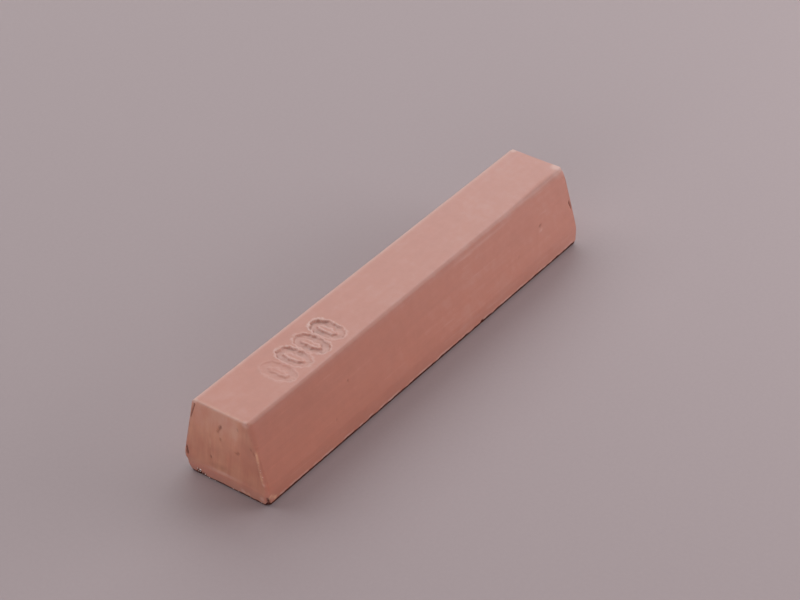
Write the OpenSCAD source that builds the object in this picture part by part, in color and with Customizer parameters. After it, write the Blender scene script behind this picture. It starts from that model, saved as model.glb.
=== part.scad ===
// Furniture repair wax stick: one cast bar of pigmented wax, resting on its wide pour face.
// X runs along the bar, with the knife-cut front end at -X. The top face looks up, along +Z.
// The origin is the middle of the resting face.

/* [Bar] */
// Length over all, with the front lip
bar_length = 80; // [50:1:120]
// Height from the resting face to the top face
bar_height = 13; // [9:0.1:18]
// Width of the top face, between its edges before they are rounded
top_width = 10.1; // [7:0.1:12]
// Width of the straight band round the base
base_width = 15.2; // [13:0.1:20]
// Height of the straight band, where the drafted sides begin
band_height = 3; // [1.5:0.1:4]
// How far the top face lies off the middle, towards the left side
top_shift = 0.65; // [0:0.05:1]

/* [Edges] */
// Radius of the right-hand top edge
right_edge_radius = 0.7; // [0.3:0.1:2]
// Radius of the left-hand top edge
left_edge_radius = 0.4; // [0.3:0.1:2]
// Radius where a drafted side meets the straight band
shoulder_radius = 3; // [0.5:0.1:5]
// Radius of the two long edges of the resting face
base_edge_radius = 0.5; // [0.1:0.05:0.8]

/* [Front cut] */
// Height of the lip that snapped off below the front cut
lip_height = 1.8; // [0.8:0.1:3]
// How far the lip stands out from the front cut face
lip_reach = 0.25; // [0.1:0.05:1]

/* [Broken corner] */
// Width of the break at the left corner of the front lip
base_break_width = 1.5; // [0.5:0.1:3]
// Height of that break
base_break_height = 2.4; // [0.5:0.1:4]
// Length of that break along the bar
base_break_length = 4; // [1:0.5:10]

/* [Rubbed flat] */
// Length of the flat that use has rubbed on the right-hand top edge
flat_length = 12; // [4:0.5:20]
// Depth of the flat at its middle
flat_depth = 0.2; // [0.1:0.05:0.5]
// Distance from the far end to the middle of the flat
flat_from_end = 8; // [2:0.5:30]

/* [Hidden] */
$fn = 96;
wax_colour = [0.66, 0.43, 0.37];
overrun = 1;
front_x = -bar_length / 2;
far_x = bar_length / 2;
right_y = -base_width / 2;
left_y = base_width / 2;
top_right_y = top_shift - top_width / 2;
top_left_y = top_shift + top_width / 2;
cutter_size = bar_length;
section_corners = [
    [right_y, 0], [left_y, 0],
    [left_y, band_height], [top_left_y, bar_height],
    [top_right_y, bar_height], [right_y, band_height],
];
section_radii = [
    base_edge_radius, base_edge_radius,
    shoulder_radius, left_edge_radius,
    right_edge_radius, shoulder_radius,
];
right_edge = 4;

function unit(v) = v / norm(v);

function previous(list, i) = list[(i + len(list) - 1) % len(list)];

function next(list, i) = list[(i + 1) % len(list)];

// Directions from corner i of an outline to its two neighbours
function arms(corners, i) = [
    unit(previous(corners, i) - corners[i]),
    unit(next(corners, i) - corners[i]),
];

function half_angle(corners, i) = let (a = arms(corners, i)) acos(a[0] * a[1]) / 2;

// Direction from corner i into the outline, halfway between its sides
function inward(corners, i) = let (a = arms(corners, i)) unit(a[0] + a[1]);

function fillet_centre(corners, radii, i) =
    corners[i] + inward(corners, i) * radii[i] / sin(half_angle(corners, i));

// The two points where the fillet of corner i meets the straight sides
function tangent_points(corners, radii, i) =
    let (a = arms(corners, i), run = radii[i] / tan(half_angle(corners, i)))
    [corners[i] + a[0] * run, corners[i] + a[1] * run];

// The sector of a circle that rounds corner i
module fillet(corners, radii, i) {
    ends = tangent_points(corners, radii, i);
    centre = fillet_centre(corners, radii, i);
    intersection() {
        polygon([centre, ends[0], corners[i], ends[1]]);
        translate(centre) circle(radii[i]);
    }
}

// A convex outline with a true arc at each corner
module rounded_outline(corners, radii) {
    polygon([for (i = [0:len(corners) - 1]) each tangent_points(corners, radii, i)]);
    for (i = [0:len(corners) - 1])
        fillet(corners, radii, i);
}

// Lays a section drawn across the bar, as Y and Z, along X
module along_bar(from, length) {
    translate([from, 0, 0]) rotate([90, 0, 90]) linear_extrude(length) children();
}

// Lays a side view, drawn as X and Z, right across the bar
module across_bar() {
    translate([0, cutter_size / 2, 0]) rotate([90, 0, 0]) linear_extrude(cutter_size) children();
}

// A cutter that fills the far side of the plane through three points, taken anticlockwise from outside
module beyond_plane(a, b, c) {
    normal = unit(cross(b - a, c - a));
    translate(a)
        rotate([0, acos(normal.z), atan2(normal.y, normal.x)])
            translate([-cutter_size / 2, -cutter_size / 2, 0]) cube(cutter_size);
}

// The bar as it leaves the mould: a drafted section with rounded edges on a straight band
module cast_bar() {
    along_bar(front_x, bar_length) rounded_outline(section_corners, section_radii);
}

// The knife cut at the front, which stops above the lip
module front_cut() {
    across_bar() polygon([
        [front_x - overrun, lip_height - overrun],
        [front_x, lip_height],
        [front_x + lip_reach, lip_height + lip_reach],
        [front_x + lip_reach, bar_height + overrun],
        [front_x - overrun, bar_height + overrun],
    ]);
}

// The corner of the lip that broke away on the left
module base_corner_break() {
    beyond_plane(
        [front_x, left_y, base_break_height],
        [front_x + base_break_length, left_y, 0],
        [front_x, left_y - base_break_width, 0]
    );
}

// The shallow hollow left on the right-hand top edge where the stick was rubbed on a scratch
module rubbed_flat() {
    outward = -inward(section_corners, right_edge);
    edge = fillet_centre(section_corners, section_radii, right_edge) + outward * right_edge_radius;
    sweep_radius = (pow(flat_length / 2, 2) + pow(flat_depth, 2)) / (2 * flat_depth);
    middle = edge + outward * (sweep_radius - flat_depth);
    translate([far_x - flat_from_end, middle.x, middle.y])
        rotate([atan2(outward.y, outward.x), 0, 0])
            cylinder(h = cutter_size, r = sweep_radius, center = true, $fn = 360);
}

module wax_stick() {
    color(wax_colour) difference() {
        cast_bar();
        front_cut();
        base_corner_break();
        rubbed_flat();
    }
}

wax_stick();
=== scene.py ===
import math
from types import SimpleNamespace

import bpy
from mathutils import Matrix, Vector


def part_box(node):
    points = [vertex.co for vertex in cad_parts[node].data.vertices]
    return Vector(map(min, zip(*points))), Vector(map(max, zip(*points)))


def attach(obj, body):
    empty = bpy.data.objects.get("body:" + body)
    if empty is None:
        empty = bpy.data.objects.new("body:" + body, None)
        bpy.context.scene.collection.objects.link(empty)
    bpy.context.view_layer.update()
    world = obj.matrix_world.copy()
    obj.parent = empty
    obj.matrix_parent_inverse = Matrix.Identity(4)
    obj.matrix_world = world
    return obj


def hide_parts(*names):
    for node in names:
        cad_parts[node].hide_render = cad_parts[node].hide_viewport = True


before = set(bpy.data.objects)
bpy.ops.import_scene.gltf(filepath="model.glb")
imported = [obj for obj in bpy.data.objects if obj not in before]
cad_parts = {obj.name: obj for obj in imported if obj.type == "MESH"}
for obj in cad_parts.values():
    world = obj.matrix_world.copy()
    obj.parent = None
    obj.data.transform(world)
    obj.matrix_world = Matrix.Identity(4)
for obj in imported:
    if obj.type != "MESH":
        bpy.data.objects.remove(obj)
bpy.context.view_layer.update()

bl_info = {
    "name": "Repair wax stick",
    "version": (1, 0, 0),
    "blender": (4, 5, 0),
    "location": "3D View > Sidebar > Wax stick",
    "description": "Builds a cast and knife-cut stick of furniture repair wax on a plain stage",
    "category": "Object",
}

MM = 0.001
NOUGHT = 1e-7
LOWEST, HIGHEST = (Vector(corner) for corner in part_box("wax_stick"))
BAR_SIZE = HIGHEST - LOWEST

# Grid lines of the bar, as (cells, share of the side), so that the mark, the lip and the edges get more
LENGTH_SHARES = ((6, 0.005), (22, 0.045), (20, 0.075), (126, 0.2125), (94, 0.575), (24, 0.08), (8, 0.0075))
WIDTH_SHARES = ((10, 0.10), (52, 0.80), (10, 0.10))
HEIGHT_SHARES = ((8, 0.05), (10, 0.14), (34, 0.70), (12, 0.11))

# The tables and sizes below are in millimetres of the bar's own frame, unless they say otherwise

# Dents in the surface, as (start, end, half width, depth)
GROOVES = (
    ((-39.7, 0.6, 10.35), (-39.7, 0.95, 9.8), 0.24, 0.24),
    ((-39.7, 0.95, 9.8), (-39.7, 1.25, 9.1), 0.17, 0.15),
    ((-39.7, 0.8, 8.15), (-39.7, 0.82, 7.85), 0.2, 0.12),
    ((-39.7, 2.7, 6.8), (-39.7, 2.8, 3.1), 0.2, 0.04),
    ((-39.7, 2.75, 4.05), (-39.7, 2.78, 3.75), 0.25, 0.17),
    ((-39.7, -2.35, 6.95), (-39.7, -1.95, 6.75), 0.25, 0.14),
    ((-39.7, -2.4, 11.3), (-39.7, -2.45, 10.9), 0.15, 0.1),
    ((-39.7, -4.8, 10.65), (-39.7, -4.84, 10.35), 0.22, 0.09),
    ((-39.7, -4.6, 8.8), (-39.7, -4.65, 8.6), 0.22, 0.09),
    ((-39.7, -5.05, 8.3), (-39.7, -5.15, 8.05), 0.22, 0.1),
    ((-39.7, 5.15, 12.3), (-39.7, 6.1, 9.6), 0.14, 0.3),
    ((-39.7, 6.3, 8.7), (-39.7, 6.75, 6.4), 0.1, 0.12),
    ((-39.7, 7.25, 3.9), (-39.7, 7.1, 2.6), 0.26, 0.4),
    ((30.7, -6.15, 7.55), (30.8, -6.15, 7.5), 0.32, 0.22),
    ((-19.2, -5.85, 8.45), (-19.1, -5.85, 8.4), 0.22, 0.12),
    ((39.3, -6.15, 7.5), (39.35, -6.5, 6.4), 0.13, 0.25),
    ((-39.75, -7.35, 1.35), (-39.75, -7.45, 0.3), 0.38, 0.6),
)

# Chips bitten out of the edges, as (centre, radius, how much shade is painted inside them)
CHIPS = (
    ((-40.1, -7.85, -0.1), 0.9, 1.0),
    ((-40.15, 4.9, 0.35), 0.5, 0.8),
    ((-40.15, 4.0, 0.25), 0.4, 0.7),
    ((40.0, -7.8, 0.0), 0.8, 0.5),
    ((12.75, -7.8, 0.3), 0.5, 0.7),
)

# Scuffed spots, as (centre, radius, how pale they are); those at the far top corners are scraped wax with a
# painted highlight
SCUFFS = (
    ((39.6, -3.4, 13.0), 1.4, 0.65),
    ((39.7, 5.2, 13.0), 1.1, 0.7),
    ((-39.7, 5.3, 13.0), 0.9, 0.7),
    ((-39.7, -3.8, 12.9), 1.0, 0.4),
    ((-39.9, -6.4, 0.9), 0.5, 0.35),
    ((-39.9, -3.0, 0.7), 0.5, 0.35),
    ((-39.7, -6.65, 3.5), 0.4, 0.4),
    ((30.7, -6.35, 6.85), 0.4, 0.6),
    ((39.5, -4.2, 12.4), 1.0, 0.33),
    ((38.4, -4.3, 12.7), 1.3, 0.2),
)

# Thin shavings that still cling to the bar, as (centre, radius, how clearly they show)
SHAVINGS = (
    ((-39.3, -7.6, 1.4), 0.5, 1.0),
    ((-38.85, -7.6, 1.15), 0.5, 1.2),
    ((-38.35, -7.6, 0.9), 0.4, 1.1),
    ((-39.9, -3.3, 0.6), 0.3, 0.5),
    ((-39.9, -4.0, 0.6), 0.35, 0.6),
)

# Runs of crumbs along the edges, as (start, end, count, largest radius)
CRUMB_RUNS = (
    ((-39.76, 4.6, 0.74), (-39.76, 4.5, 0.7), 2, 0.29),
    ((-39.8, 5.5, 0.75), (-39.8, 5.3, 0.7), 2, 0.18),
    ((-39.72, 5.9, 0.4), (-39.8, 4.0, 0.28), 6, 0.14),
    ((-39.82, 3.0, 0.2), (-39.82, -6.3, 0.2), 10, 0.1),
    ((-39.7, -5.6, 8.3), (-39.72, -6.75, 4.1), 12, 0.09),
    ((39.5, -3.7, 12.7), (39.55, -2.4, 12.7), 4, 0.17),
    ((-39.2, 6.5, 0.95), (-37.8, 7.05, 0.75), 5, 0.16),
)

# How the ovals were struck, as (force, how much harder at the upper end, step sideways)
STRIKES = (
    (0.4, -0.3, -0.25),
    (0.9, 0.2, 0.1),
    (1.0, -0.1, 0.0),
    (1.1, 0.25, 0.2),
)

# How far the marks of an edge reach, as (two faces, reach): wear, with a painted highlight along the left and
# front top edges and painted shade along the front's left edge and the far right edge
EDGE_WEAR_AND_LIGHT = (
    ("left", "top", 1.0),
    ("front", "top", 0.6),
    ("front", "left", 0.4),
    ("far", "right", 0.45),
    ("far", "top", 0.5),
)

# Soft panels, as (name, setting of the power, azimuth, elevation, distance, size, seen in the sheen), in
# degrees and metres
PANELS = (
    ("left_panel", "key_power", 100, 48, 0.9, (0.6, 0.6), True),
    ("back_panel", "back_power", 40, 32, 1.2, (1.2, 1.0), True),
    ("roof_panel", "roof_power", -16, 46, 1.0, (0.8, 0.7), True),
    ("right_panel", "right_power", -46, 16, 0.3, (0.26, 0.14), False),
    ("front_panel", "front_power", -160, 13, 0.6, (0.5, 0.24), False),
)

# Small sizes of the bar, with the room that the front leaves for its roughness
SHOULDER_EASE = 0.35
LIP_SLOPE = 1.6
FRONT_ROOM = 0.07
RAGGED_GRAIN = 1.3
CUT_RAGGEDNESS = 1.2
CUT_SOFTNESS = 0.9
BASE_SINK = 0.25
DISH_HALF_LENGTH = 18.0
DISH_HALF_WIDTH = 7.0
DISH_DEPTH = 0.1
FOOT_SINK = 0.03
RIM_RISE = 0.035
BURR_RISE = 0.12
FULL_DARK_DEPTH = 0.3

# Waves of noise, as (size, height)
LIP_WAVE = (3.5, 0.9)
FOOT_WAVE = (1.5, 0.7)
BREAK_WAVE = (0.8, 0.35)
CHIP_WAVE = (0.5, 0.2)
TORN_WAVE = (0.8, 1.2)
FAR_GRAIN = (2.0, 0.07)
SWELL = (14.0, 0.06)
PULLED_LINES = (1.8, 0.04)
KNIFE_LINES = (0.9, 0.08)

# Heights over which a trait comes in, as (none of it, all of it)
LIP_STEP = (-0.25, 0.25)
CORNER_WEAR = (2.4, 3.4)
SOFT_CORNER = (7.6, 9.8)
FAR_WEAR = (10.5, 13.0)
BURR_SLANT = (11.0, 3.4)
BURR_FOOT = (3.0, 3.8)
BURR_HEAD = (9.4, 8.4)
FOOT_EDGE = (0.06, -0.06)
BASE_CURL = (1.4, 0.0)
LIP_SHADE = (3.0, 0.4)
SIDE_LIGHTER_UP = (4.0, 11.0)

# Distances from a face or the burr over which a trait comes in, as (none of it, all of it)
CUT_SKIN = (0.15, 0.02)
CUT_FACE = (0.3, 0.1)
NEAR_FRONT = (1.0, 0.3)
NEAR_RIGHT = (1.2, 0.3)
BURR_SKIN = (0.3, 0.05)
BURR_CUT = (-0.1, 0.15)
FOOT_SKIN = (1.2, 0.3)
HEM_SKIN = (0.3, 0.1)
CURL_SKIN = (0.9, 0.3)
CREASE_SKIN = (0.4, 0.1)
RIDGE_SIDE = (0.9, 0.1)
RIDGE_TOP = (1.4, 0.0)
RIDGE_START = (0.2, 1.5)
TOP_SHEEN = (0.3, 0.0)

# Places across the bar over which a trait comes in, as (none of it, all of it)
BASE_HOLLOW = (6.2, 0.0)
FOLD_ACROSS = (-1.0, 3.0)
LIP_CUT_ACROSS = (2.0, -2.0)

# Where the tone of the wax changes along, across or up the bar, as (none of it, all of it); the darkening
# towards the front of the sides and low on the cut end is painted shade
SIDE_SHADE_NEAR = (10.0, -40.0)
CUT_RIGHT = (-1.5, -4.2)
CUT_RIGHT_UP = (6.5, 9.5)
CUT_SHADE_LOW = (11.0, 5.0)
ON_SIDE = (12.9, 12.6)

# Places of single traces, as (middle, half), along, across or up the bar
RUBBED_ALONG = (33.0, 11.0)
BURR_LINE = (0.0, 0.38)
STREAK_ACROSS = (2.73, 0.25)
STREAK_UP = (5.9, 2.2)
CREASE_ALONG = (16.0, 12.0)
CREASE_UP = (11.9, 0.4)
HEM_UP = (0.2, 0.3)
LIP_LINE_ACROSS = (0.8, 4.5)
LIP_LINE_UP = (0.1, 0.3)
FOLD_UP = (0.0, 0.22)
UPPER_FOLD_ACROSS = (1.2, 3.0)
UPPER_FOLD_UP = (0.9, 0.9)
LOW_CRACK_UP = (6.9, 1.0)
HIGH_CRACK_UP = (11.0, 1.4)
FAR_TOP_DARK_ACROSS = (1.0, 4.0)

# Soft start of a rounded edge, and full middles of spots and dents, as shares of their radius
EDGE_EASE_SHARE = 0.15
SHAVING_CORE_SHARE = 0.6
SCUFF_CORE_SHARE = 0.3
GROOVE_CORE_SHARE = 0.2
PIT_CORE_SHARE = 0.15
PIT_DEPTH_SHARE = 0.45

# Gas pits: how many there are on a square metre, and their smallest and largest radius
PIT_DENSITY = 9000.0
PIT_RADII = (0.08, 0.28)

# How nearly a face has to lie flat to count as the top or the base, as the upward part of its normal
FLAT_FACING = (0.9, 0.995)

# Profile of a pressed line, as stretches in shares of its half width: its flank, the outer and the inner side
# of its rim, and the outer and the inner side of its wall, which gets painted shade
PRESS_PROFILE = ((1.1, 0.65), (1.9, 1.25), (0.9, 1.2), (1.15, 0.85), (0.3, 0.6))


def srgb(red, green, blue):
    """A colour from a picture, as the linear values that a shader takes."""
    return tuple(((v / 255 + 0.055) / 1.055) ** 2.4 for v in (red, green, blue))


def length_setting(name, description, default):
    """A size in metres."""
    return bpy.props.FloatProperty(name=name, description=description, default=default,
                                   unit="LENGTH", precision=5, min=0.0)


def power_setting(name, description, default):
    """The power of a lamp in watts."""
    return bpy.props.FloatProperty(name=name, description=description, default=default,
                                   unit="POWER", min=0.0)


def colour_setting(name, description, default):
    """A surface colour."""
    return bpy.props.FloatVectorProperty(name=name, description=description, default=default,
                                         subtype="COLOR", size=3, min=0.0, max=1.0)


class WaxBarSettings(bpy.types.PropertyGroup):
    """Sizes of the cast bar and of its cut ends."""

    length: length_setting("Length", "Length over all, with the lip", BAR_SIZE.x)
    base_width: length_setting("Base width", "Width of the straight band at the base", BAR_SIZE.y)
    height: length_setting("Height", "From the resting face to the top", BAR_SIZE.z)
    top_width: length_setting("Top width", "Width of the top before its edges are rounded", 10.0 * MM)
    top_shift: length_setting("Top shift", "How far the top lies towards the left side", 0.6 * MM)
    band_height: length_setting("Band height", "Height of the straight band", 3.0 * MM)
    right_edge: length_setting("Right edge", "Radius of the right-hand top edge", 0.58 * MM)
    rubbed_edge: length_setting("Rubbed edge", "Radius of that edge where it is rubbed", 1.25 * MM)
    left_edge: length_setting("Left edge", "Radius of the left-hand top edge", 0.45 * MM)
    base_edge: length_setting("Base edge", "Radius of the long edges of the resting face", 0.15 * MM)
    base_lift: length_setting("Base lift", "How far the rim of the resting face curls up", 0.03 * MM)
    # The foot of the sides and of the lip is a band of painted shade along the base, where the bar meets the
    # floor
    foot_shade_height: length_setting("Foot height", "Height of the dirty foot of the sides", 0.45 * MM)
    lip_foot_shade: length_setting("Lip foot", "Height of the dirty foot of the lip", 0.3 * MM)
    cut_edge: length_setting("Cut edge", "Radius of the edges round the cut ends", 0.12 * MM)
    brow: length_setting("Brow", "Radius of the top edge of the front cut", 0.3 * MM)
    soft_corner: length_setting("Soft corner", "Extra radius of the front's right edge at its top", 0.8 * MM)
    burr_inset: length_setting("Burr inset", "How far the foot of the burr lies off that edge", 0.8 * MM)
    worn_corner: length_setting("Worn corner", "Extra radius of the far corners of the top", 0.4 * MM)
    far_lean: length_setting("Far lean", "How far the foot of the far end lies back", 0.3 * MM)
    lip_height: length_setting("Lip height", "Height of the lip below the front cut", 2.0 * MM)
    lip_reach: length_setting("Lip reach", "How far the lip stands out of the front cut", 0.2 * MM)
    break_width: length_setting("Break width", "Width of the broken corner of the lip", 1.5 * MM)
    break_height: length_setting("Break height", "Height of the broken corner", 2.4 * MM)
    break_length: length_setting("Break length", "Length of the broken corner", 4.0 * MM)


class PressedMarkSettings(bpy.types.PropertyGroup):
    """Sizes of the row of plain ovals pressed into the top."""

    first_oval: length_setting("First oval", "From the front end to the middle of the first oval", 12.2 * MM)
    pitch: length_setting("Pitch", "From one oval to the next", 3.95 * MM)
    oval_height: length_setting("Oval height", "Size of an oval across the bar", 4.6 * MM)
    oval_width: length_setting("Oval width", "Size of an oval along the bar", 2.3 * MM)
    stroke: length_setting("Stroke", "Width of the pressed line", 1.15 * MM)
    depth: length_setting("Press depth", "Depth of the pressed line", 0.22 * MM)


class EdgeCrumbSettings(bpy.types.PropertyGroup):
    """Sizes of the crumbs that cling to the cut edges."""

    scatter: length_setting("Scatter", "How far a crumb may lie off its edge", 0.08 * MM)
    ruggedness: length_setting("Ruggedness", "How uneven a crumb is", 0.05 * MM)


class WaxFinishSettings(bpy.types.PropertyGroup):
    """Colours of the wax."""

    cast: colour_setting("Cast skin", "Colour of the moulded faces", srgb(198, 127, 108))
    cut: colour_setting("Cut wax", "Colour of the knife-cut ends", srgb(206, 146, 121))
    # The dull colour also paints shade low on the cut end and towards the front of the sides
    dull_and_shade: colour_setting("Dull", "Colour of the darker streaks", srgb(168, 104, 89))
    # The pale colour also paints highlights on the top edges, the far corners and the oval rims
    pale: colour_setting("Pale", "Colour of scuffed edges", srgb(226, 194, 186))
    shaving: colour_setting("Shaving", "Colour of the thin burr that the knife left", srgb(228, 176, 146))
    # The near-white crumb colour is partly a painted glint
    crumb: colour_setting("Crumb", "Colour of the crumbs", srgb(244, 228, 222))
    # The haze colour is mostly painted sheen on the ridge and the top, and a painted reflection towards the
    # far end
    bloom: colour_setting("Bloom", "Colour of the haze on rubbed faces", srgb(198, 178, 179))
    # The dirt colour also paints shade at the foot, round the lip, in the fold, on the ridge, in chips and
    # cracks and on the oval walls
    dirt: colour_setting("Dirt", "Colour of what lies in pits and cracks", srgb(78, 34, 26))


class StageSettings(bpy.types.PropertyGroup):
    """The floor, the light and the camera."""

    floor: colour_setting("Floor", "Colour of the floor", srgb(174, 157, 160))
    key_power: power_setting("Key", "Power of the panel on the left", 3.1)
    back_power: power_setting("Back", "Power of the panel behind, which gives the top its sheen", 6.5)
    roof_power: power_setting("Roof", "Power of the panel overhead", 2.5)
    right_power: power_setting("Right", "Power of the panel on the right", 0.46)
    front_power: power_setting("Front", "Power of the panel in front", 1.65)
    fill: bpy.props.FloatProperty(name="Fill", description="Strength of the light from all round",
                                  default=0.02, min=0.0)
    lens: bpy.props.FloatProperty(name="Lens", description="Focal length in millimetres",
                                  default=101.9, min=1.0)
    eye: bpy.props.FloatVectorProperty(name="Eye", description="Where the camera stands", size=3,
                                       unit="LENGTH", default=(-220.92 * MM, -160.46 * MM, 207.85 * MM))
    tilt: bpy.props.FloatProperty(name="Tilt", description="Angle of the view below the horizon",
                                  default=math.radians(36.10), subtype="ANGLE")
    turn: bpy.props.FloatProperty(name="Turn", description="Angle of the view round the bar",
                                  default=math.radians(-54.21), subtype="ANGLE")


def both_ways(operation):
    """An operator and its reflected form, each of which adds a Math node."""
    return (lambda wire, value: wire.sheet.math(operation, wire, value),
            lambda wire, value: wire.sheet.math(operation, value, wire))


class Wire:
    """An output socket of a node tree. Arithmetic on wires adds Math nodes."""

    def __init__(self, sheet, socket):
        self.sheet = sheet
        self.socket = socket

    __add__, __radd__ = both_ways("ADD")
    __sub__, __rsub__ = both_ways("SUBTRACT")
    __mul__, __rmul__ = both_ways("MULTIPLY")
    __truediv__, __rtruediv__ = both_ways("DIVIDE")
    __pow__, __rpow__ = both_ways("POWER")

    def __neg__(self):
        return self * -1


class Sheet:
    """A node tree that is filled by expressions."""

    def __init__(self, tree):
        self.tree = tree
        tree.nodes.clear()

    def add(self, kind, settings=None, sockets=None, output=0):
        """Adds a node: its settings first, then the values or links of its sockets."""
        node = self.tree.nodes.new(kind)
        for key, value in (settings or {}).items():
            setattr(node, key, value)
        for key, value in (sockets or {}).items():
            for one in value if isinstance(value, list) else [value]:
                if isinstance(one, Wire):
                    self.tree.links.new(one.socket, node.inputs[key])
                else:
                    node.inputs[key].default_value = one
        return Wire(self, node.outputs[output]) if len(node.outputs) else None

    def math(self, operation, *values):
        return self.add("ShaderNodeMath", {"operation": operation}, dict(enumerate(values)))

    def least(self, a, b):
        return self.math("MINIMUM", a, b)

    def most(self, a, b):
        return self.math("MAXIMUM", a, b)

    def ramp(self, value, low, high, smooth=True):
        """0 at low and below, 1 at high and above."""
        kind = "SMOOTHSTEP" if smooth else "LINEAR"
        return self.add("ShaderNodeMapRange", {"interpolation_type": kind, "clamp": True},
                        {"Value": value, "From Min": low, "From Max": high})

    def eased(self, value, ease):
        """The value where it is positive and nothing where it is negative, with a soft bend between."""
        return 0.5 * (value + self.math("SQRT", value * value + ease * ease))

    def hump(self, value, middle, half):
        """1 at middle, falling to 0 at the distance half on either side."""
        return 1 - self.ramp(self.math("ABSOLUTE", value - middle), 0, half)

    def vector(self, operation, *values):
        output = "Value" if operation in {"LENGTH", "DOT_PRODUCT", "DISTANCE"} else "Vector"
        return self.add("ShaderNodeVectorMath", {"operation": operation}, dict(enumerate(values)), output)

    def scaled(self, vector, factor):
        return self.add("ShaderNodeVectorMath", {"operation": "SCALE"}, {0: vector, "Scale": factor})

    def point(self, x, y, z):
        return self.add("ShaderNodeCombineXYZ", sockets={0: x, 1: y, 2: z})

    def parts(self, vector):
        split = self.add("ShaderNodeSeparateXYZ", sockets={0: vector})
        return [Wire(self, socket) for socket in split.socket.node.outputs]

    def noise(self, vector, size, detail=2.0, roughness=0.5, distortion=0.0):
        """Smooth noise from 0 to 1, with grains of a size."""
        return self.add("ShaderNodeTexNoise", sockets={
            "Vector": vector, "Scale": 1 / size, "Detail": detail, "Roughness": roughness,
            "Distortion": distortion})

    def wave(self, vector, wave, detail=3.0, roughness=0.5):
        """Noise about nought, by a size and a height in millimetres."""
        size, height = wave
        return (self.noise(vector, size * MM, detail, roughness) - 0.5) * (height * MM)

    def grain(self, vector, wave, detail=3.0):
        """Noise from nought up, by a size and a height in millimetres."""
        size, height = wave
        return self.noise(vector, size * MM, detail) * (height * MM)

    def fade(self, value, stretch):
        """0 at the start of a stretch in millimetres, 1 at its end."""
        return self.ramp(value, stretch[0] * MM, stretch[1] * MM)

    def spot(self, value, place):
        """1 at the middle of a place in millimetres, falling to 0 at its half width."""
        return self.hump(value, place[0] * MM, place[1] * MM)

    def blend(self, factor, a, b):
        """A colour between a and b."""
        a, b = ((*c, 1.0) if isinstance(c, tuple) else c for c in (a, b))
        return self.add("ShaderNodeMix", {"data_type": "RGBA"}, {"Factor": factor, 6: a, 7: b}, 2)


def setting_names(settings):
    """The names of a group's own settings."""
    return [p.identifier for p in settings.bl_rna.properties if p.identifier not in {"rna_type", "name"}]


class Recipe(Sheet):
    """A geometry node tree with one named input for each setting."""

    def __init__(self, name, groups):
        super().__init__(bpy.data.node_groups.new(name, "GeometryNodeTree"))
        self.values = {}
        face = self.tree.interface
        face.new_socket("Geometry", in_out="OUTPUT", socket_type="NodeSocketGeometry")
        self.material_socket = face.new_socket("Material", in_out="INPUT", socket_type="NodeSocketMaterial")
        for group in groups:
            for key in setting_names(group):
                label = group.bl_rna.properties[key].name
                socket = face.new_socket(label, in_out="INPUT", socket_type="NodeSocketFloat")
                self.values[key] = (socket.identifier, getattr(group, key))
        self.given = self.tree.nodes.new("NodeGroupInput")
        self.size = SimpleNamespace(**{
            key: Wire(self, self.output_of(mark)) for key, (mark, _) in self.values.items()})

    def output_of(self, identifier):
        return next(s for s in self.given.outputs if s.identifier == identifier)

    def close(self, geometry):
        """Ends the tree: real geometry with the wax on it."""
        real = self.add("GeometryNodeRealizeInstances", sockets={"Geometry": geometry})
        material = Wire(self, self.output_of(self.material_socket.identifier))
        coated = self.add("GeometryNodeSetMaterial", sockets={"Geometry": real, "Material": material})
        self.tree.links.new(coated.socket, self.tree.nodes.new("NodeGroupOutput").inputs[0])

    def build(self, name, material):
        """Runs the tree and returns an object with the plain mesh that it made."""
        piece = bpy.data.objects.new(name, bpy.data.meshes.new(name))
        bpy.context.scene.collection.objects.link(piece)
        modifier = piece.modifiers.new(name, "NODES")
        modifier.node_group = self.tree
        modifier[self.material_socket.identifier] = material
        for identifier, value in self.values.values():
            modifier[identifier] = value
        graph = bpy.context.evaluated_depsgraph_get()
        mesh = bpy.data.meshes.new_from_object(piece.evaluated_get(graph))
        if not mesh.polygons:
            raise RuntimeError(f"{name} came out empty")
        piece.modifiers.clear()
        piece.data = mesh
        return piece


def cell_count(zones):
    """How many cells a side of the grid has."""
    return sum(cells for cells, _ in zones)


def along_zones(sheet, share, zones):
    """Where a grid line lies, from 0 to 1, when share counts the cells evenly."""
    total = cell_count(zones)
    place, done = 0, 0
    for cells, span in zones:
        place = sheet.ramp(share, done / total, (done + cells) / total, smooth=False) * span + place
        done += cells
    return place


def bar_grid(sheet):
    """A closed box of grid cells, and the three shares that say where a vertex lies in it."""
    sides = (LENGTH_SHARES, WIDTH_SHARES, HEIGHT_SHARES)
    sockets = {f"Vertices {axis}": cell_count(zones) + 1 for axis, zones in zip("XYZ", sides)}
    grid = sheet.add("GeometryNodeMeshCube", sockets={"Size": (1, 1, 1), **sockets})
    raw = sheet.parts(sheet.add("GeometryNodeInputPosition"))
    return grid, [along_zones(sheet, value + 0.5, zones) for value, zones in zip(raw, sides)]


def rounding(sheet, distance, edges):
    """How far a vertex moves in from each face, so that the edges between faces become arcs."""
    moves = {}
    for one, two, radius in edges:
        reach = [sheet.eased(radius - distance[face], EDGE_EASE_SHARE * radius) for face in (one, two)]
        span = sheet.math("SQRT", reach[0] * reach[0] + reach[1] * reach[1])
        keep = sheet.most(reach[0], reach[1]) / sheet.most(span, NOUGHT)
        for face, depth in zip((one, two), reach):
            moves[face] = depth * (1 - keep) + moves.get(face, 0)
    return moves


def push_off_plane(sheet, point, corners, roughness):
    """Moves what lies beyond the plane through three corners back on to it."""
    a, b, c = (Vector(corner) for corner in corners)
    normal = (b - a).cross(c - a).normalized()
    beyond = sheet.vector("DOT_PRODUCT", point, tuple(normal)) - a.dot(normal) + roughness
    return sheet.vector("SUBTRACT", point, sheet.scaled(tuple(normal), sheet.most(beyond, 0)))


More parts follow.
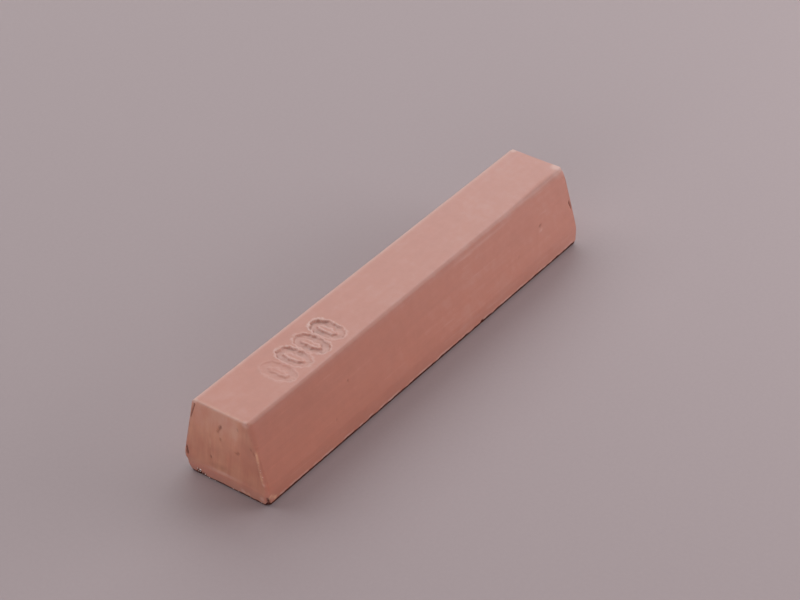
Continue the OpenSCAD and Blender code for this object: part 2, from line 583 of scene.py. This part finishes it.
def push_out_of_ball(sheet, point, centre, radius):
    """Moves what lies inside a ball out to its surface, which leaves a round bite."""
    arm = sheet.vector("SUBTRACT", point, centre)
    span = sheet.most(sheet.vector("LENGTH", arm), NOUGHT)
    return sheet.vector("ADD", point, sheet.scaled(arm, sheet.most(radius / span - 1, 0)))


def spots(sheet, point, table, core_share):
    """The strongest spot of a table at a point, each full in its core and gone at its radius."""
    strongest = 0
    for centre, radius, amount in table:
        gap = sheet.vector("DISTANCE", point, tuple(v * MM for v in centre))
        strongest = sheet.most(sheet.ramp(gap, radius * MM, core_share * radius * MM) * amount, strongest)
    return strongest


def bar_place(sheet, shares):
    """Where a vertex lies while the bar's edges are sharp, and how far it is from each face."""
    size = sheet.size
    along, across, up = shares
    z = up * size.height
    above = z - size.band_height
    draft = sheet.eased(above, SHOULDER_EASE * MM) / (size.height - size.band_height)
    half_base = 0.5 * size.base_width
    half_top = 0.5 * size.top_width
    right = draft * (size.top_shift - half_top + half_base) - half_base
    left = half_base + draft * (size.top_shift + half_top - half_base)
    y = right + across * (left - right)

    section = sheet.point(0, y, z)
    lip_slope = sheet.most(across - 0.5, 0) * (LIP_SLOPE * MM)
    lip_top = size.lip_height + sheet.wave(section, LIP_WAVE) - lip_slope
    above_lip = sheet.fade(z - lip_top, LIP_STEP)
    front = size.lip_reach * above_lip - 0.5 * size.length + FRONT_ROOM * MM
    far = 0.5 * size.length - (1 - up) * size.far_lean - sheet.grain(section, FAR_GRAIN)
    x = front + along * (far - front)
    distance = {"front": x - front, "far": far - x, "right": y - right, "left": left - y,
                "base": z, "top": size.height - z}
    return SimpleNamespace(x=x, y=y, z=z, along=along, distance=distance, lip_top=lip_top,
                           above_lip=above_lip, rubbed=sheet.spot(x, RUBBED_ALONG),
                           soft=sheet.fade(z, SOFT_CORNER))


def round_edges(sheet, place):
    """Where a vertex lies once the edges between the faces are rounded."""
    size = sheet.size
    right_edge = size.right_edge + place.rubbed * (size.rubbed_edge - size.right_edge)
    worn = sheet.fade(place.z, CORNER_WEAR) * (0.3 + 0.7 * place.soft)
    soft_corner = size.cut_edge + worn * size.soft_corner
    worn_corner = size.cut_edge + sheet.fade(place.z, FAR_WEAR) * size.worn_corner
    edges = [("right", "top", right_edge), ("left", "top", size.left_edge),
             ("right", "base", size.base_edge), ("left", "base", size.base_edge)]
    edges += [("front", side, size.cut_edge) for side in ("left", "base")]
    edges += [("far", side, size.cut_edge) for side in ("base", "top")]
    edges += [("front", "top", size.brow), ("front", "right", soft_corner)]
    edges += [("far", side, worn_corner) for side in ("right", "left")]
    moves = rounding(sheet, place.distance, edges)
    return sheet.point(place.x + moves["front"] - moves["far"], place.y + moves["right"] - moves["left"],
                       place.z + moves["base"] - moves["top"])


def add_traces(sheet, place, point):
    """Adds to a place what the masks share: worn edges with painted highlight and shade, the burr, the foot
    with its painted shade, the ridge and the lip.
    """
    size, distance, z = sheet.size, place.distance, place.z
    place.ragged = sheet.noise(point, RAGGED_GRAIN * MM, 3.0)
    place.near = {}
    for one, two, reach in EDGE_WEAR_AND_LIGHT:
        place.near[one, two] = sheet.fade(distance[one] + distance[two], (reach, 0))
    place.inset = sheet.least(sheet.least(distance["right"], distance["left"]),
                              sheet.least(distance["front"], distance["far"]))
    place.on_cut = sheet.fade(distance["front"], CUT_FACE)
    place.near_front = sheet.fade(distance["front"], NEAR_FRONT)
    place.burr_gap = distance["right"] - sheet.fade(z, BURR_SLANT) * size.burr_inset
    place.burr = (sheet.spot(place.burr_gap, BURR_LINE) * sheet.fade(distance["front"], BURR_SKIN)
                  * sheet.fade(z, BURR_FOOT) * sheet.fade(z, BURR_HEAD))
    foot_shade_height = size.foot_shade_height + place.near_front * (size.lip_foot_shade - size.foot_shade_height)
    place.over_foot = z - (foot_shade_height + sheet.wave(sheet.point(place.x, place.y, 0), FOOT_WAVE))
    # The foot is a band of painted shade along the base, and it also sinks a little
    place.foot = sheet.fade(place.inset, FOOT_SKIN) * sheet.fade(place.over_foot, FOOT_EDGE)
    place.ridge = (sheet.fade(distance["right"], RIDGE_SIDE) * sheet.fade(distance["top"], RIDGE_TOP)
                   * sheet.fade(distance["front"], RIDGE_START))
    place.over_lip = z - place.lip_top
    place.lip_shade = place.on_cut * sheet.fade(z, LIP_SHADE)


def cut_mask(sheet, place):
    """How far the surface is knife-cut wax and not cast skin."""
    reach = CUT_SKIN[0] * MM + place.soft * place.ragged * (CUT_RAGGEDNESS * MM)
    lip_share = place.above_lip + (1 - place.above_lip) * sheet.fade(place.y, LIP_CUT_ACROSS) * 0.8
    front = sheet.ramp(place.distance["front"], reach, CUT_SKIN[1] * MM) * lip_share
    burr_side = sheet.ramp(place.burr_gap, BURR_CUT[0] * MM,
                           BURR_CUT[1] * MM + place.soft * (CUT_SOFTNESS * MM))
    return sheet.most(front * burr_side, sheet.fade(place.distance["far"], CUT_SKIN))


def pale_and_highlight_mask(sheet, place, point):
    """How pale the wax is rubbed, with painted highlights along the left and front top edges and at the far
    top corners: at edges and scuffs, over the foot's painted shade, in a crease and on the lip.
    """
    hem = (sheet.fade(place.inset, HEM_SKIN) * sheet.spot(place.over_foot, HEM_UP)
           * (1 - place.near_front) * sheet.ramp(place.ragged, 0.4, 0.6))
    crease = (sheet.spot(place.z, CREASE_UP) * sheet.spot(place.x, CREASE_ALONG)
              * sheet.fade(place.distance["right"], CREASE_SKIN))
    lip_line = (place.on_cut * sheet.spot(place.over_lip, LIP_LINE_UP)
                * sheet.spot(place.y, LIP_LINE_ACROSS))
    near = place.near
    pale = spots(sheet, point, SCUFFS, SCUFF_CORE_SHARE)
    for amount, share in ((near["left", "top"], 0.6), (near["front", "top"], 0.32),
                          (near["far", "top"], 0.25), (near["front", "left"], 0.3),
                          (hem, 0.5), (crease, 0.22), (lip_line, 0.3)):
        pale = sheet.most(amount * share * (0.5 + place.ragged), pale)
    return pale


def dirt_and_shade_mask(sheet, place):
    """How dark the wax is painted, mostly painted shade: in cracks at the ends, round the lip, at the foot
    and on the ridge, with dirt in the cracks.
    """
    ragged, near = place.ragged, place.near
    # Painted shade in the cracks at the far right edge, with dirt in them
    crack_dirt_and_shade = sheet.most(sheet.spot(place.z, LOW_CRACK_UP), sheet.spot(place.z, HIGH_CRACK_UP) * 0.5)
    crack_dirt_and_shade = sheet.most(crack_dirt_and_shade, ragged * 0.4)
    # Darker along the middle of the far top edge
    far_top_dark = near["far", "top"] * sheet.spot(place.y, FAR_TOP_DARK_ACROSS)
    # Painted shade in the fold over the lip and in a wider patch above it
    fold_shade = place.on_cut * sheet.spot(place.over_lip, FOLD_UP) * sheet.fade(place.y, FOLD_ACROSS)
    upper_fold_shade = place.on_cut * sheet.spot(place.over_lip, UPPER_FOLD_UP) * sheet.spot(place.y, UPPER_FOLD_ACROSS)
    seen = sheet.most(sheet.fade(place.distance["right"], NEAR_RIGHT), place.near_front)
    # The foot's painted shade is darker near the right side and the front
    foot = place.foot * (0.3 + 0.3 * ragged + 0.7 * seen)
    dirt = sheet.most(near["far", "right"] * crack_dirt_and_shade, foot)
    # Painted shade along the front's left edge, round the lip and on the ridge, more where the ridge is
    # rubbed
    for amount, share in ((near["front", "left"] * ragged, 0.5), (far_top_dark, 0.35), (fold_shade * ragged, 0.4),
                          (upper_fold_shade * ragged, 0.5), (place.lip_shade, 0.2),
                          (place.ridge, 0.05 + 0.08 * place.rubbed)):
        dirt = sheet.most(amount * share, dirt)
    return dirt


def shaving_mask(sheet, place, point):
    """How clearly thin wax shows that the knife left: the burr, a streak and what still clings."""
    streak = place.on_cut * sheet.spot(place.y, STREAK_ACROSS) * sheet.spot(place.z, STREAK_UP)
    clinging = spots(sheet, point, SHAVINGS, SHAVING_CORE_SHARE)
    return sheet.most(clinging, sheet.most(place.burr, streak * 1.1))


def haze_and_sheen_mask(sheet, place):
    """How hazy the wax is painted: painted sheen on the ridge and the top, painted light up the sides, a
    painted reflection towards the far end, and haze over the lip's painted shade.
    """
    top_sheen = sheet.fade(place.distance["top"], TOP_SHEEN)
    return (place.ridge * 0.11 + place.along * 0.12 + place.lip_shade * 0.12
            + sheet.fade(place.z, SIDE_LIGHTER_UP) * 0.03 + top_sheen * 0.04)


def broken_lip(sheet, bar, point):
    """The point, with the left corner of the lip broken off."""
    front_x = -0.5 * bar.length
    left_y = 0.5 * bar.base_width
    corners = ((front_x, left_y, bar.break_height), (front_x + bar.break_length, left_y, 0),
               (front_x, left_y - bar.break_width, 0))
    return push_off_plane(sheet, point, corners, sheet.wave(point, BREAK_WAVE))


def chipped(sheet, point):
    """The point, with the chips bitten out of the edges, and the shade painted inside them."""
    chip_shade = 0
    for centre, radius, amount in CHIPS:
        middle = tuple(v * MM for v in centre)
        bite = radius * MM + sheet.wave(point, CHIP_WAVE, detail=2.0)
        inside = sheet.ramp(sheet.vector("DISTANCE", point, middle), bite * 1.1, bite * 0.9)
        chip_shade = sheet.most(inside * amount, chip_shade)
        point = push_out_of_ball(sheet, point, middle, bite)
    return point, chip_shade


def bar_shape(sheet, bar, shares):
    """The place of each vertex on the cut bar, and the masks that its relief and its wax read."""
    place = bar_place(sheet, shares)
    point = round_edges(sheet, place)
    add_traces(sheet, place, point)
    masks = {"cut": cut_mask(sheet, place), "pale": pale_and_highlight_mask(sheet, place, point),
             "dirt": dirt_and_shade_mask(sheet, place), "burr": place.burr,
             "shaving": shaving_mask(sheet, place, point), "bloom": haze_and_sheen_mask(sheet, place),
             "foot": place.foot}
    curl = sheet.fade(place.inset, CURL_SKIN) * sheet.fade(place.z, BASE_CURL) * sheet.size.base_lift
    point = sheet.vector("ADD", point, sheet.point(0, 0, curl))
    point, chip_shade = chipped(sheet, broken_lip(sheet, bar, point))
    masks["dirt"] = sheet.most(chip_shade, masks["dirt"])
    return point, masks


def oval_ring(sheet, middle, step):
    """One oval as a ring of edges, a little fuller than an ellipse."""
    size = sheet.size
    ring = sheet.add("GeometryNodeCurvePrimitiveCircle", sockets={"Resolution": 72, "Radius": 1.0})
    ring = sheet.add("GeometryNodeCurveToMesh", sockets={"Curve": ring})
    round_place = sheet.parts(sheet.add("GeometryNodeInputPosition"))
    x, y = (sheet.math("SIGN", v) * sheet.math("ABSOLUTE", v) ** 0.85 for v in round_place[:2])
    return sheet.add("GeometryNodeSetPosition", sockets={"Geometry": ring, "Position": sheet.point(
        x * size.oval_width * 0.5 + middle, y * size.oval_height * 0.5 + step, 0)})


def pressed_ovals(sheet, place):
    """How far the pressed ovals reach down, as a share of their depth, their rims and the painted shade on
    their walls.
    """
    size = sheet.size
    x, y, _ = sheet.parts(place)
    flat = sheet.point(x, y, 0)
    half = 0.5 * size.stroke
    torn = sheet.wave(flat, TORN_WAVE, roughness=0.55)
    uneven = 0.2 + sheet.noise(flat, 1.2 * MM, 3.0) * 1.6
    depth, rim, wall_shade = 0, 0, 0
    for number, (force, lean, step) in enumerate(STRIKES):
        middle = size.first_oval + size.pitch * number - 0.5 * size.length
        gap = torn + sheet.add("GeometryNodeProximity", {"target_element": "EDGES"}, {
            "Geometry": oval_ring(sheet, middle, step * MM), "Sample Position": flat}, "Distance")
        flank, rim_outer, rim_inner, wall_outer, wall_inner = (
            sheet.ramp(gap, half * start, half * end) for start, end in PRESS_PROFILE)
        strike = force * (1 + lean * 2 * (y - step * MM) / size.oval_height) * uneven
        depth = sheet.most(flank * strike, depth)
        rim = sheet.most(rim_outer * rim_inner * strike, rim)
        wall_shade = sheet.most(wall_outer * wall_inner * sheet.ramp(strike, 0.95, 1.35), wall_shade)
    return depth, rim, wall_shade


def dents(sheet, place):
    """Depth of the grooves and pits in the surface."""
    depth = 0
    for start, end, half, deep in GROOVES:
        a, b = Vector(start) * MM, Vector(end) * MM
        run = b - a
        arm = sheet.vector("SUBTRACT", place, tuple(a))
        share = sheet.vector("DOT_PRODUCT", arm, tuple(run / run.length_squared))
        share = sheet.least(sheet.most(share, 0), 1)
        gap = sheet.vector("DISTANCE", arm, sheet.scaled(tuple(run), share))
        pressed = sheet.ramp(gap, half * MM, half * MM * GROOVE_CORE_SHARE)
        depth = sheet.most(pressed * (deep * MM), depth)
    return depth


def scattered_pits(sheet, surface, place):
    """Depth of small gas pits strewn over the cast skin."""
    points = sheet.add("GeometryNodeDistributePointsOnFaces", sockets={
        "Mesh": surface, "Density": PIT_DENSITY, "Seed": 7})
    smallest, largest = (v * MM for v in PIT_RADII)
    reach = sheet.add("FunctionNodeRandomValue", sockets={2: smallest, 3: largest, "Seed": 11}, output=1)
    nearest = sheet.add("GeometryNodeSampleNearest", {"domain": "POINT"},
                        {"Geometry": points, "Sample Position": place})
    radius = sheet.add("GeometryNodeSampleIndex", {"data_type": "FLOAT", "domain": "POINT"},
                       {"Geometry": points, "Value": reach, "Index": nearest})
    gap = sheet.add("GeometryNodeProximity", {"target_element": "POINTS"},
                    {"Geometry": points, "Sample Position": place}, "Distance")
    return sheet.ramp(gap, radius, radius * PIT_CORE_SHARE) * radius * PIT_DEPTH_SHARE


def stored(sheet, geometry, name, value):
    """Keeps a value on the vertices under a name that the wax reads."""
    return sheet.add("GeometryNodeStoreNamedAttribute", {"data_type": "FLOAT", "domain": "POINT"},
                     {"Geometry": geometry, "Name": name, "Value": value})


def kept(sheet, name):
    """A value that was kept on the vertices."""
    return sheet.add("GeometryNodeInputNamedAttribute", {"data_type": "FLOAT"}, {"Name": name})


def kept_inside(sheet, point):
    """The point, or the nearest one to it in the box of the solid."""
    return sheet.vector("MINIMUM", sheet.vector("MAXIMUM", point, tuple(LOWEST)), tuple(HIGHEST))


def bar_recipe(bar, mark):
    """The tree of the whole bar."""
    sheet = Recipe("Wax bar", (bar, mark))
    surface, shares = bar_grid(sheet)
    point, masks = bar_shape(sheet, bar, shares)
    for name, value in masks.items():
        surface = stored(sheet, surface, name, value)
    surface = sheet.add("GeometryNodeSetPosition", sockets={"Geometry": surface, "Position": point})

    place = sheet.add("GeometryNodeInputPosition")
    x, y, z = sheet.parts(place)
    normal = sheet.add("GeometryNodeInputNormal")
    _, _, facing_up = sheet.parts(normal)
    top = sheet.ramp(facing_up, *FLAT_FACING)
    base = sheet.ramp(-facing_up, *FLAT_FACING)
    cut, burr, foot, pale, dirt = (kept(sheet, name) for name in ("cut", "burr", "foot", "pale", "dirt"))

    press, rim, wall_shade = (amount * top for amount in pressed_ovals(sheet, place))
    groove = dents(sheet, place)
    pit = scattered_pits(sheet, surface, place) * (1 - 0.6 * cut) * (1 - 0.6 * top)
    lines = (sheet.grain(sheet.point(x * 0.04, y, z), PULLED_LINES, 2.0) * (1 - cut)
             + sheet.grain(sheet.point(x, y + z * 0.06, z * 0.1), KNIFE_LINES) * cut)
    mark_middle = mark.first_oval + 0.5 * (len(STRIKES) - 1) * mark.pitch - 0.5 * bar.length
    dish = sheet.hump(x, mark_middle, DISH_HALF_LENGTH * MM) * sheet.hump(y, 0, DISH_HALF_WIDTH * MM) * top
    raised = rim * (RIM_RISE * MM) + burr * (BURR_RISE * MM)
    relief = (sheet.grain(place, SWELL, 2.0) + lines + dish * (DISH_DEPTH * MM) + foot * (FOOT_SINK * MM)
              + press * sheet.size.depth + sheet.most(groove, pit) - raised)
    hollow = base * sheet.fade(sheet.math("ABSOLUTE", y), BASE_HOLLOW) * (BASE_SINK * MM)
    sunk = sheet.scaled(normal, relief * (1 - base) + hollow)

    # Painted shade in the grooves and pits, with dirt in them, and on the deep walls of the ovals
    recess_dirt_and_shade = sheet.least(sheet.most(groove, pit * 0.5) / (FULL_DARK_DEPTH * MM), 0.9)
    dirt = sheet.most(sheet.most(dirt, recess_dirt_and_shade), wall_shade * 0.1)
    # The oval rims get a painted highlight, and the oval floors are painted paler against their shade
    pale = sheet.most(pale, sheet.most(rim * 0.5, press * 0.28))
    surface = stored(sheet, surface, "dirt", dirt)
    surface = stored(sheet, surface, "pale", pale)
    surface = sheet.add("GeometryNodeSetPosition", sockets={
        "Geometry": surface, "Position": kept_inside(sheet, sheet.vector("SUBTRACT", place, sunk))})
    surface = sheet.add("GeometryNodeSetShadeSmooth", sockets={"Geometry": surface, "Shade Smooth": True})
    sheet.close(surface)
    return sheet


def random_vector(sheet, low, high, seed):
    """A random vector between two corners for each point."""
    return sheet.add("FunctionNodeRandomValue", {"data_type": "FLOAT_VECTOR"},
                     {0: low, 1: high, "Seed": seed})


def crumb_recipe(crumbs):
    """The tree of the crumbs that cling to the edges."""
    sheet = Recipe("Edge crumbs", (crumbs,))
    runs = []
    for number, (start, end, count, radius) in enumerate(CRUMB_RUNS):
        first, last = Vector(start) * MM, Vector(end) * MM
        step = (last - first) / (count - 1)
        line = sheet.add("GeometryNodeMeshLine", sockets={
            "Count": count, "Start Location": tuple(first), "Offset": tuple(step)})
        stray = random_vector(sheet, (-1, -1, -1), (1, 1, 1), 20 + number)
        line = sheet.add("GeometryNodeSetPosition", sockets={
            "Geometry": line, "Offset": sheet.scaled(stray, sheet.size.scatter)})
        ball = sheet.add("GeometryNodeMeshIcoSphere", sockets={"Radius": radius * MM, "Subdivisions": 2})
        runs.append(sheet.add("GeometryNodeInstanceOnPoints", sockets={
            "Points": line, "Instance": ball,
            "Rotation": random_vector(sheet, (0, 0, 0), (6.28, 6.28, 6.28), 40 + number),
            "Scale": random_vector(sheet, (0.5, 0.5, 0.4), (1.0, 1.0, 0.8), 60 + number)}))
    loose = sheet.add("GeometryNodeJoinGeometry", sockets={"Geometry": runs})
    loose = sheet.add("GeometryNodeRealizeInstances", sockets={"Geometry": loose})
    place = sheet.add("GeometryNodeInputPosition")
    uneven = sheet.noise(place, 0.12 * MM, 1.0)
    sunk = sheet.scaled(sheet.add("GeometryNodeInputNormal"), uneven * sheet.size.ruggedness)
    loose = sheet.add("GeometryNodeSetPosition", sockets={
        "Geometry": loose, "Position": kept_inside(sheet, sheet.vector("SUBTRACT", place, sunk))})
    sheet.close(stored(sheet, loose, "crumb", 1.0))
    return sheet


def wax_look(sheet):
    """The patterns of the wax by Object coordinates, and the masks that the pieces carry."""
    place = sheet.add("ShaderNodeTexCoord", output="Object")
    x, y, z = sheet.parts(place)
    look = SimpleNamespace(x=x, y=y, z=z)
    for name in ("cut", "pale", "dirt", "bloom", "shaving", "crumb"):
        setattr(look, name, sheet.add("ShaderNodeAttribute", {"attribute_name": name}, output="Fac"))
    look.blotch = sheet.noise(place, 7 * MM, 3.0, 0.55)
    look.cloud = sheet.noise(place, 1.6 * MM, 4.0, 0.6)
    look.grain = sheet.noise(place, 0.25 * MM, 2.0)
    look.patch = sheet.noise(sheet.point(x, y, z * 0.5), 2.2 * MM, 3.0, 0.55)
    drawn = sheet.noise(sheet.point(x * 0.03, y, z), 0.7 * MM, 3.0, 0.6)
    sliced = sheet.noise(sheet.point(x, y + z * 0.1, z * 0.07), 0.6 * MM, 3.0, 0.6, 0.4)
    look.lines = drawn + (sliced - drawn) * look.cut
    look.dragged = sheet.noise(sheet.point(x * 0.05, y * 0.3, x * 0.035 + z), 0.45 * MM, 2.0)
    return look


def wax_tone(sheet, look):
    """How much paler the wax is than its plain colour, or duller where it is negative, with painted shade low
    on the cut end and towards the front of the sides.
    """
    cut = look.cut
    on_side = sheet.fade(look.z, ON_SIDE)
    skin = (1 - cut) * on_side
    lined = 0.14 + 0.16 * on_side + 0.1 * cut
    scratch = sheet.ramp(look.dragged, 0.6, 0.72) * sheet.ramp(look.blotch, 0.42, 0.6)
    # Painted shade: the cut end darker lower down
    low = sheet.fade(look.z, CUT_SHADE_LOW) * 0.3
    right = sheet.fade(look.y, CUT_RIGHT) * (0.12 + 0.31 * sheet.fade(look.z, CUT_RIGHT_UP))
    # Painted shade: the sides darker towards the front end
    near = sheet.ramp(look.x, SIDE_SHADE_NEAR[0] * MM, SIDE_SHADE_NEAR[1] * MM, smooth=False)
    mottled = (look.blotch - 0.5) * 0.35 + (look.cloud - 0.5) * 0.3 + (look.patch - 0.5) * cut * 0.25
    return (mottled + (look.lines - 0.5) * lined + skin * (scratch * 0.13 - near * 0.14)
            + cut * (0.1 - low - right))


def wax_colour(sheet, finish, look):
    """The colour of the wax, from its plain colour to what lies on it and the light and shade painted on it.
    """
    tone = wax_tone(sheet, look)
    yellowed = look.cut * (0.45 + 0.5 * sheet.ramp(look.patch, 0.35, 0.65))
    colour = sheet.blend(yellowed, tuple(finish.cast), tuple(finish.cut))
    for layer, amount in (("pale", sheet.ramp(tone, 0, 0.6, smooth=False) * 0.5),
                          ("dull_and_shade", sheet.ramp(-tone, 0, 0.6, smooth=False) * 0.9),
                          ("bloom", look.bloom * (0.6 + 0.8 * look.cloud)),
                          ("pale", sheet.least(look.pale, 1) * 0.85),
                          ("shaving", look.shaving * sheet.ramp(look.cloud, 0.3, 0.6) * 0.75),
                          ("crumb", look.crumb),
                          ("dirt", look.dirt * 0.88)):
        colour = sheet.blend(amount, colour, tuple(getattr(finish, layer)))
    return colour


def wax_material(finish):
    """Pigmented wax: a satin cast skin, streaked cut ends, pale scuffs and dirt in the cracks, with painted
    highlights, painted sheen and painted shade on it.
    """
    material = bpy.data.materials.new("Repair wax")
    material.use_nodes = True
    sheet = Sheet(material.node_tree)
    look = wax_look(sheet)
    rough = (0.4 + 0.12 * look.cut + 0.3 * look.dirt + (look.cloud - 0.5) * 0.16
             + (look.lines - 0.5) * 0.12)
    height = look.grain * 0.25 + look.cloud * 0.4 + look.lines * (0.35 + 0.4 * look.cut)
    bump = sheet.add("ShaderNodeBump", sockets={"Strength": 0.6, "Distance": 0.06 * MM, "Height": height},
                     output="Normal")
    shader = sheet.add("ShaderNodeBsdfPrincipled", {"subsurface_method": "RANDOM_WALK"}, {
        "Base Color": wax_colour(sheet, finish, look), "Roughness": rough, "Normal": bump, "IOR": 1.6,
        "Subsurface Weight": 0.2, "Subsurface Radius": (1.0, 0.45, 0.3), "Subsurface Scale": 0.6 * MM})
    sheet.add("ShaderNodeOutputMaterial", sockets={"Surface": shader})
    return material


def repair_wax(scene):
    """The one wax material, made when it is first asked for."""
    return bpy.data.materials.get("Repair wax") or wax_material(scene.wax_finish)


def floor_material(stage):
    """A plain pale board with a fine grain."""
    material = bpy.data.materials.new("Pale floor")
    material.use_nodes = True
    sheet = Sheet(material.node_tree)
    place = sheet.add("ShaderNodeTexCoord", output="Object")
    grain = sheet.noise(place, 0.6 * MM, 3.0, 0.6)
    darker = tuple(0.94 * v for v in stage.floor)
    colour = sheet.blend(grain, darker, tuple(stage.floor))
    bump = sheet.add("ShaderNodeBump", sockets={"Strength": 0.3, "Distance": 0.05 * MM, "Height": grain},
                     output="Normal")
    shader = sheet.add("ShaderNodeBsdfPrincipled", sockets={
        "Base Color": colour, "Roughness": 0.55, "Normal": bump})
    sheet.add("ShaderNodeOutputMaterial", sockets={"Surface": shader})
    return material


class WAX_OT_build_bar(bpy.types.Operator):
    """Builds the cast bar with its cut ends and pressed mark"""

    bl_idname = "wax_stick.build_bar"
    bl_label = "Build the wax bar"

    def execute(self, context):
        scene = context.scene
        piece = bar_recipe(scene.wax_bar, scene.wax_mark).build("wax_bar", repair_wax(scene))
        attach(piece, "root")
        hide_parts("wax_stick")
        return {"FINISHED"}


class WAX_OT_scatter_crumbs(bpy.types.Operator):
    """Strews crumbs of wax along the cut and broken edges"""

    bl_idname = "wax_stick.scatter_crumbs"
    bl_label = "Scatter the crumbs"

    def execute(self, context):
        scene = context.scene
        piece = crumb_recipe(scene.wax_crumbs).build("edge_crumbs", repair_wax(scene))
        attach(piece, "root")
        return {"FINISHED"}


def soft_panel(scene, name, power, azimuth, elevation, distance, size, mirrored):
    """Hangs a soft panel that faces the bar, by its angles in degrees as seen from the bar.

    A panel that isn't mirrored lights the bar but adds nothing to its sheen.
    """
    lamp = bpy.data.lights.new(name, "AREA")
    lamp.shape = "RECTANGLE"
    lamp.size, lamp.size_y = size
    lamp.energy = power
    turn, rise = math.radians(azimuth), math.radians(elevation)
    towards = Vector((math.cos(turn) * math.cos(rise), math.sin(turn) * math.cos(rise), math.sin(rise)))
    panel = bpy.data.objects.new(name, lamp)
    panel.location = towards * distance
    panel.rotation_euler = (-towards).to_track_quat("-Z", "Y").to_euler()
    panel.visible_glossy = mirrored
    scene.collection.objects.link(panel)


class WAX_OT_set_stage(bpy.types.Operator):
    """Lays the floor and sets the light and the camera"""

    bl_idname = "wax_stick.set_stage"
    bl_label = "Set the stage"

    def execute(self, context):
        scene = context.scene
        stage = scene.wax_stage
        reach = 3.0
        mesh = bpy.data.meshes.new("floor")
        mesh.from_pydata([(-reach, -reach, 0), (reach, -reach, 0), (reach, reach, 0), (-reach, reach, 0)],
                         [], [(0, 1, 2, 3)])
        mesh.materials.append(floor_material(stage))
        floor = bpy.data.objects.new("floor", mesh)
        scene.collection.objects.link(floor)

        for name, power, *hung in PANELS:
            soft_panel(scene, name, getattr(stage, power), *hung)

        world = bpy.data.worlds.new("room")
        world.use_nodes = True
        background = world.node_tree.nodes["Background"].inputs
        background["Color"].default_value = (1.0, 0.98, 0.97, 1.0)
        background["Strength"].default_value = stage.fill
        scene.world = world

        camera = bpy.data.objects.new("camera", bpy.data.cameras.new("camera"))
        camera.data.sensor_width = 36.0
        camera.data.lens = stage.lens
        camera.data.clip_start = 0.01
        camera.location = stage.eye
        camera.rotation_euler = (math.pi / 2 - stage.tilt, 0, stage.turn)
        scene.collection.objects.link(camera)
        scene.camera = camera
        scene.view_settings.view_transform = "Standard"
        return {"FINISHED"}


class WAX_PT_panel(bpy.types.Panel):
    """The sidebar's list of what can be built"""

    bl_idname = "WAX_PT_panel"
    bl_label = "Wax stick"
    bl_space_type = "VIEW_3D"
    bl_region_type = "UI"
    bl_category = "Wax stick"

    def draw(self, context):
        for operator in OPERATORS:
            self.layout.operator(operator.bl_idname)
        for key in SETTINGS:
            group = getattr(context.scene, key)
            box = self.layout.box()
            for name in setting_names(group):
                box.prop(group, name)


SETTINGS = {
    "wax_bar": WaxBarSettings,
    "wax_mark": PressedMarkSettings,
    "wax_crumbs": EdgeCrumbSettings,
    "wax_finish": WaxFinishSettings,
    "wax_stage": StageSettings,
}
OPERATORS = (WAX_OT_build_bar, WAX_OT_scatter_crumbs, WAX_OT_set_stage)


def register():
    for cls in (*SETTINGS.values(), *OPERATORS, WAX_PT_panel):
        bpy.utils.register_class(cls)
    for key, cls in SETTINGS.items():
        setattr(bpy.types.Scene, key, bpy.props.PointerProperty(type=cls))


def unregister():
    for key in SETTINGS:
        delattr(bpy.types.Scene, key)
    for cls in reversed((*SETTINGS.values(), *OPERATORS, WAX_PT_panel)):
        bpy.utils.unregister_class(cls)


def main():
    register()
    bpy.ops.wax_stick.build_bar()
    bpy.ops.wax_stick.scatter_crumbs()
    bpy.ops.wax_stick.set_stage()


if __name__ == "__main__":
    main()
